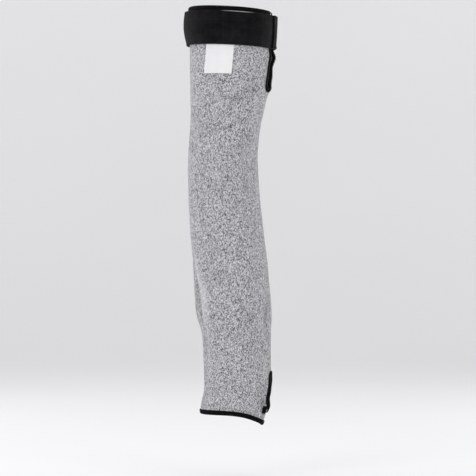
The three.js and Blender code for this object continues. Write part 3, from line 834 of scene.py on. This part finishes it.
def woven_threads_group():
    """Plain weave: warp and weft cross in turn, the upper thread showing. The height is the upper thread's
    rounded crest, and the tone is one random number for each thread."""
    tree, entry, leave = new_group(
        "woven_threads",
        [("Warp", "NodeSocketFloat", 0.0), ("Weft", "NodeSocketFloat", 0.0)],
        ("Height", "Tone"))
    warp, weft = entry.outputs["Warp"], entry.outputs["Weft"]
    warp_number, weft_number = calc(tree, "FLOOR", warp), calc(tree, "FLOOR", weft)
    warp_up = calc(tree, "FLOORED_MODULO", calc(tree, "ADD", warp_number, weft_number), 2.0)
    crests = [arch(tree, warp), arch(tree, weft)]
    heights = []
    for crest, other in (crests, crests[::-1]):
        heights.append(calc(tree, "MULTIPLY", crest, weighted(tree, 1 - CROSSING_DIP, (other, CROSSING_DIP))))
    tones = []
    for number, seed in ((warp_number, 0.0), (weft_number, WEFT_SEED)):
        noise = node(tree, "ShaderNodeTexWhiteNoise", noise_dimensions="1D")
        feed(tree, noise.inputs["W"], calc(tree, "ADD", number, seed))
        tones.append(noise.outputs["Value"])
    for name, (over, under) in (("Height", heights), ("Tone", tones)):
        mix = node(tree, "ShaderNodeMix", data_type="FLOAT")
        feed(tree, mix.inputs[MIX_SHARE], warp_up)
        for socket, value in zip(MIX_NUMBERS, (under, over)):
            feed(tree, mix.inputs[socket], value)
        feed(tree, leave.inputs[name], mix.outputs[MIX_NUMBER_OUT])
    return tree


def knit_loops_group():
    """Face of a plain knit: each stitch is a V of two legs. Folding the wale about its middle gives one
    leg, and adding a share of the distance from the middle to the course leans it. The height is the leg's
    round crest, the tone one random number for each leg, the streak one for each stretch of yarn along a
    course."""
    tree, entry, leave = new_group(
        "knit_loops",
        [("Wale", "NodeSocketFloat", 0.0), ("Course", "NodeSocketFloat", 0.0)],
        ("Height", "Tone", "Streak"))
    wale, course = entry.outputs["Wale"], entry.outputs["Course"]
    aside = calc(tree, "ABSOLUTE", calc(tree, "SUBTRACT", calc(tree, "FRACT", wale), 0.5))
    across = calc(tree, "MULTIPLY", aside, 2.0)
    leaned = weighted(tree, course, (across, LEG_LEAN))
    leg = calc(tree, "POWER", calc(tree, "SINE", calc(tree, "MULTIPLY", across, np.pi)), LEG_FULLNESS)
    loop = weighted(tree, 1 - LOOP_RELIEF, (arch(tree, leaned), LOOP_RELIEF))
    row = calc(tree, "FLOOR", leaned)
    cell = node(tree, "ShaderNodeCombineXYZ")
    feed(tree, cell.inputs[0], calc(tree, "FLOOR", calc(tree, "MULTIPLY", wale, 2.0)))
    feed(tree, cell.inputs[1], row)
    noise = node(tree, "ShaderNodeTexWhiteNoise", noise_dimensions="2D")
    feed(tree, noise.inputs["Vector"], cell.outputs[0])
    yarn = node(tree, "ShaderNodeCombineXYZ")
    feed(tree, yarn.inputs[0], calc(tree, "MULTIPLY", wale, STREAK_PER_WALE))
    feed(tree, yarn.inputs[1], calc(tree, "MULTIPLY", row, STREAK_PER_COURSE))
    streak = node(tree, "ShaderNodeTexNoise", noise_dimensions="2D")
    feed(tree, streak.inputs["Vector"], yarn.outputs[0])
    feed(tree, streak.inputs["Scale"], 1.0)
    feed(tree, streak.inputs["Detail"], 1.0)
    feed(tree, leave.inputs["Height"], calc(tree, "MULTIPLY", leg, loop))
    feed(tree, leave.inputs["Tone"], noise.outputs["Value"])
    feed(tree, leave.inputs["Streak"], streak.outputs["Fac"])
    return tree


def new_material(name, roughness, sheen, specular):
    """A material with its shader, whose constant finish is set on the shader's own sockets."""
    material = bpy.data.materials.new(name)
    material.use_nodes = True
    tree = material.node_tree
    shader = tree.nodes["Principled BSDF"]
    shader.inputs["Roughness"].default_value = roughness
    shader.inputs["Sheen Weight"].default_value = sheen
    shader.inputs["Sheen Roughness"].default_value = SHEEN_ROUGHNESS
    shader.inputs["Specular IOR Level"].default_value = specular
    return material, tree, shader


def ramp(tree, value, stops):
    """Colour ramp on a value, from stops of place and colour."""
    made = node(tree, "ShaderNodeValToRGB")
    feed(tree, made.inputs["Fac"], value)
    points = made.color_ramp.elements
    while len(points) < len(stops):
        points.new(0.5)
    for point, (place, colour) in zip(points, stops):
        point.position = place
        point.color = (*colour, 1.0)
    return made.outputs["Color"]


def mixed(tree, how, share, first, second):
    """Two colours mixed by a share, in one of the ways of the mix node."""
    made = node(tree, "ShaderNodeMix", data_type="RGBA", blend_type=how)
    feed(tree, made.inputs[MIX_SHARE], share)
    for socket, value in zip(MIX_COLOURS, (first, second)):
        feed(tree, made.inputs[socket], value)
    return made.outputs[MIX_COLOUR_OUT]


def rising(tree, value, start, full):
    """A value mapped to 0 at the start and 1 at the full place, and held at both."""
    made = node(tree, "ShaderNodeMapRange")
    feed(tree, made.inputs["Value"], value)
    feed(tree, made.inputs["From Min"], start)
    feed(tree, made.inputs["From Max"], full)
    return made.outputs[0]


def bump(tree, height, distance, strength):
    """Normal from a height, with the relief in metres."""
    made = node(tree, "ShaderNodeBump")
    feed(tree, made.inputs["Strength"], strength)
    feed(tree, made.inputs["Distance"], distance)
    feed(tree, made.inputs["Height"], height)
    return made.outputs["Normal"]


def placed(tree, group, inputs):
    """Outputs of a node group placed in a material, with its named inputs fed."""
    made = node(tree, "ShaderNodeGroup", node_tree=group)
    for name, value in inputs.items():
        feed(tree, made.inputs[name], value)
    return made.outputs


def fuzz_on(tree, fuzz, **scales):
    """The yarn fuzz on the piece's Object coordinates, with its fine or coarse scale changed where one is
    given."""
    where = node(tree, "ShaderNodeTexCoord").outputs["Object"]
    changed = {key.capitalize() + " Scale": scale for key, scale in scales.items()}
    return placed(tree, fuzz, {"Vector": where, **changed})


def counted(tree, across, down):
    """The UV map counted out in threads or stitches: two outputs, across and down."""
    where = node(tree, "ShaderNodeUVMap", uv_map="UVMap")
    split = node(tree, "ShaderNodeSeparateXYZ")
    feed(tree, split.inputs[0], where.outputs["UV"])
    return calc(tree, "MULTIPLY", split.outputs[0], across), calc(tree, "MULTIPLY", split.outputs[1], down)


def knit_material(fuzz, loops):
    """Salt-and-pepper knit: each leg of a stitch takes its grey from a ramp over its random tone and its
    yarn's streak, with painted shade in the gaps between the legs. Along the ridges of the folds it blends
    to a painted highlight, and in the creases and dents it is dimmed by painted shade."""
    material, tree, shader = new_material("knit_grey", roughness=0.9, sheen=0.2, specular=0.15)
    hair = fuzz_on(tree, fuzz)
    wale, course = counted(tree, WALES, COURSES)
    stitch = placed(tree, loops, {"Wale": wale, "Course": course})
    grey = ramp(tree, weighted(tree, 0.0, (stitch["Tone"], 0.8), (stitch["Streak"], 0.2)), KNIT_GREYS)
    # Painted light and shade of the folds, read from the knit's points
    fold = node(tree, "ShaderNodeAttribute", attribute_name="painted_fold_light_shade").outputs["Fac"]
    # Painted highlight: the grey blends towards a light grey along the ridges
    ridge_highlighted = mixed(tree, "MIX", calc(tree, "MAXIMUM", fold, 0.0), grey, KNIT_RIDGE_HIGHLIGHT)
    # Painted shade in the gaps between the legs, darker where the stitch's height is low
    gap_shade = weighted(tree, 0.68, (stitch["Height"], 0.35))
    mottle = weighted(tree, 0.86, (hair["Tone"], 0.3))
    # Painted shade: the grey is dimmed down in the creases and dents
    crease_shade = calc(tree, "ADD", calc(tree, "MINIMUM", fold, 0.0), 1.0)
    shade = calc(tree, "MULTIPLY", calc(tree, "MULTIPLY", gap_shade, mottle), crease_shade)
    feed(tree, shader.inputs["Base Color"], mixed(tree, "MULTIPLY", 1.0, ridge_highlighted, shade))
    relief = weighted(tree, stitch["Height"], (hair["Height"], 0.25))
    feed(tree, shader.inputs["Normal"], bump(tree, relief, distance=0.00035, strength=0.7))
    return material


def thread_material(fuzz):
    """Black overlock thread: near black, a little lighter where the fuzz stands up."""
    material, tree, shader = new_material("overlock_black", roughness=0.62, sheen=0.007, specular=0.045)
    hair = fuzz_on(tree, fuzz, fine=3200.0, coarse=260.0)
    feed(tree, shader.inputs["Base Color"], ramp(tree, hair["Tone"], THREAD_BLACKS))
    feed(tree, shader.inputs["Roughness"], weighted(tree, 0.45, (hair["Tone"], 0.3)))
    feed(tree, shader.inputs["Normal"], bump(tree, hair["Height"], distance=0.0001, strength=0.6))
    return material


def strap_material(fuzz, weave):
    """Black woven elastic: fine threads along and across the strap, with a low pile that lies unevenly in
    patches. The upper selvage has a gloss over a stretch at the front: it rises across the last share of
    the width, and falls off along the strap with the distance from the middle of that stretch."""
    material, tree, shader = new_material("strap_black", roughness=0.8, sheen=0.04, specular=0.05)
    shader.inputs["Coat Roughness"].default_value = 0.5
    shader.inputs["Coat IOR"].default_value = 2.9
    hair = fuzz_on(tree, fuzz, coarse=180.0)
    patch = fuzz_on(tree, fuzz, fine=130.0, coarse=32.0)
    along, across = counted(tree, STRAP_THREADS_ALONG, STRAP_THREADS_ACROSS)
    cloth = placed(tree, weave, {"Warp": across, "Weft": along})
    tone = weighted(tree, 0.0, (patch["Tone"], 0.62), (hair["Tone"], 0.3), (cloth["Tone"], 0.1))
    feed(tree, shader.inputs["Base Color"], ramp(tree, tone, STRAP_BLACKS))
    feed(tree, shader.inputs["Roughness"], weighted(tree, 0.65, (hair["Tone"], 0.25)))
    selvage = rising(tree, across, *(share * STRAP_THREADS_ACROSS for share in STRAP_GLOSS_WIDTH))
    middle = STRAP_GLOSS_MIDDLE * STRAP_THREADS_ALONG
    from_middle = calc(tree, "ABSOLUTE", calc(tree, "SUBTRACT", along, middle))
    stretch = rising(tree, from_middle, *(share * STRAP_THREADS_ALONG for share in STRAP_GLOSS_REACH))
    feed(tree, shader.inputs["Coat Weight"], calc(tree, "MULTIPLY", selvage, stretch))
    relief = weighted(tree, cloth["Height"], (hair["Height"], 0.6))
    feed(tree, shader.inputs["Normal"], bump(tree, relief, distance=0.00018, strength=0.7))
    return material


def label_material(fuzz, weave):
    """White woven satin: fine close threads with a faint unevenness."""
    material, tree, shader = new_material("label_white", roughness=0.5, sheen=0.05, specular=0.25)
    hair = fuzz_on(tree, fuzz)
    across, down = counted(tree, LABEL_THREADS_ACROSS, LABEL_THREADS_DOWN)
    cloth = placed(tree, weave, {"Warp": across, "Weft": down})
    tone = weighted(tree, 0.0, (hair["Tone"], 0.8), (cloth["Tone"], 0.2))
    feed(tree, shader.inputs["Base Color"], ramp(tree, tone, LABEL_WHITES))
    feed(tree, shader.inputs["Roughness"], weighted(tree, 0.42, (cloth["Tone"], 0.2)))
    feed(tree, shader.inputs["Normal"], bump(tree, cloth["Height"], distance=0.00006, strength=0.5))
    return material


def backdrop_material(fuzz):
    """Pale matt floor with a faint unevenness and a faint glow."""
    material, tree, shader = new_material("floor_pale", roughness=0.85, sheen=0.0, specular=0.2)
    grain = fuzz_on(tree, fuzz, fine=220.0, coarse=1.6)
    feed(tree, shader.inputs["Base Color"], ramp(tree, grain["Tone"], FLOOR_GREYS))
    shader.inputs["Emission Color"].default_value = FLOOR_GLOW_COLOUR
    shader.inputs["Emission Strength"].default_value = FLOOR_GLOW
    return material


def backdrop(material):
    """Pale floor that rises into a low wall all round: a square grid bent into a disc, flat at first, whose
    height then follows a quarter circle."""
    along, across = np.meshgrid(np.linspace(-1, 1, FLOOR_GRID), np.linspace(-1, 1, FLOOR_GRID), indexing="ij")
    x = FLOOR_REACH * along * np.sqrt(1 - across ** 2 / 2)
    y = FLOOR_REACH * across * np.sqrt(1 - along ** 2 / 2)
    bend = FLOOR_REACH - FLOOR_FLAT
    past = np.clip(np.hypot(x, y) - FLOOR_FLAT, 0, bend)
    height = FLOOR_HEIGHT + bend - np.sqrt(bend ** 2 - past ** 2)
    index = np.arange(x.size).reshape(x.shape)
    points = np.stack([x, y, height], axis=-1).reshape(-1, 3) / MM
    floor = add_piece("floor_bowl", points, [grid_quads(index)[:, ::-1]], material)


def soft_light(name, at, width, height, power):
    """A soft box: a rectangle of light turned towards the sleeve."""
    light = bpy.data.lights.new(name, "AREA")
    light.shape = "RECTANGLE"
    light.size = width
    light.size_y = height
    light.energy = power
    lamp = bpy.data.objects.new(name, light)
    lamp.location = at
    lamp.rotation_euler = (Vector(LIGHT_AIM) - Vector(at)).to_track_quat("-Z", "Y").to_euler()
    bpy.context.scene.collection.objects.link(lamp)


def studio():
    """Camera straight in front of the sleeve, as far away as keeps the sides almost parallel, and soft
    light."""
    scene = bpy.context.scene
    lens = bpy.data.cameras.new("camera")
    lens.sensor_width = CAMERA_SENSOR
    lens.lens = CAMERA_SENSOR * -CAMERA_AT[1] / (PIXELS * PIXEL_SIZE * MM)
    camera = bpy.data.objects.new("camera", lens)
    camera.location = CAMERA_AT
    camera.rotation_euler = (np.pi / 2, 0, 0)
    scene.collection.objects.link(camera)
    scene.camera = camera
    for name, (at, width, height, power) in LIGHTS.items():
        soft_light(name, at, width, height, power)
    world = bpy.data.worlds.new("studio")
    world.use_nodes = True
    sky = world.node_tree.nodes["Background"]
    sky.inputs["Color"].default_value = SKY_COLOUR
    sky.inputs["Strength"].default_value = SKY_STRENGTH
    scene.world = world
    scene.view_settings.view_transform = "Standard"


fuzz, weave, loops = yarn_fuzz_group(), woven_threads_group(), knit_loops_group()
thread = thread_material(fuzz)

knit = knit_tube(knit_material(fuzz, loops))
strap = strap_band(strap_material(fuzz, weave))
label = label_tag(label_material(fuzz, weave))

edges = {
    "rim": overlock_piece("rim_thread", rim_path(), thread),
    "slit": overlock_piece("slit_thread", slit_path(), thread),
    "thumb": overlock_piece("thumb_thread", opening_path(*slot_outline(), True), thread),
    "hem": overlock_piece("hem_thread", hem_path(), thread),
}
tail = tail_thread(thread)

for piece, replaced, finish in (
        (knit, "sleeve_body", "knit"),
        (edges["rim"], "rim_overlock", "overlock_thread"),
        (edges["slit"], "slit_overlock", "overlock_thread"),
        (edges["thumb"], "thumb_overlock", "overlock_thread"),
        (edges["hem"], "hem_overlock", "overlock_thread"),
        (tail, "thumb_tail", "overlock_thread"),
        (strap, "arm_strap", "strap_elastic"),
        (label, "label", "label_satin")):
    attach(piece, "root")
    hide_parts(replaced)

backdrop(backdrop_material(fuzz))
studio()
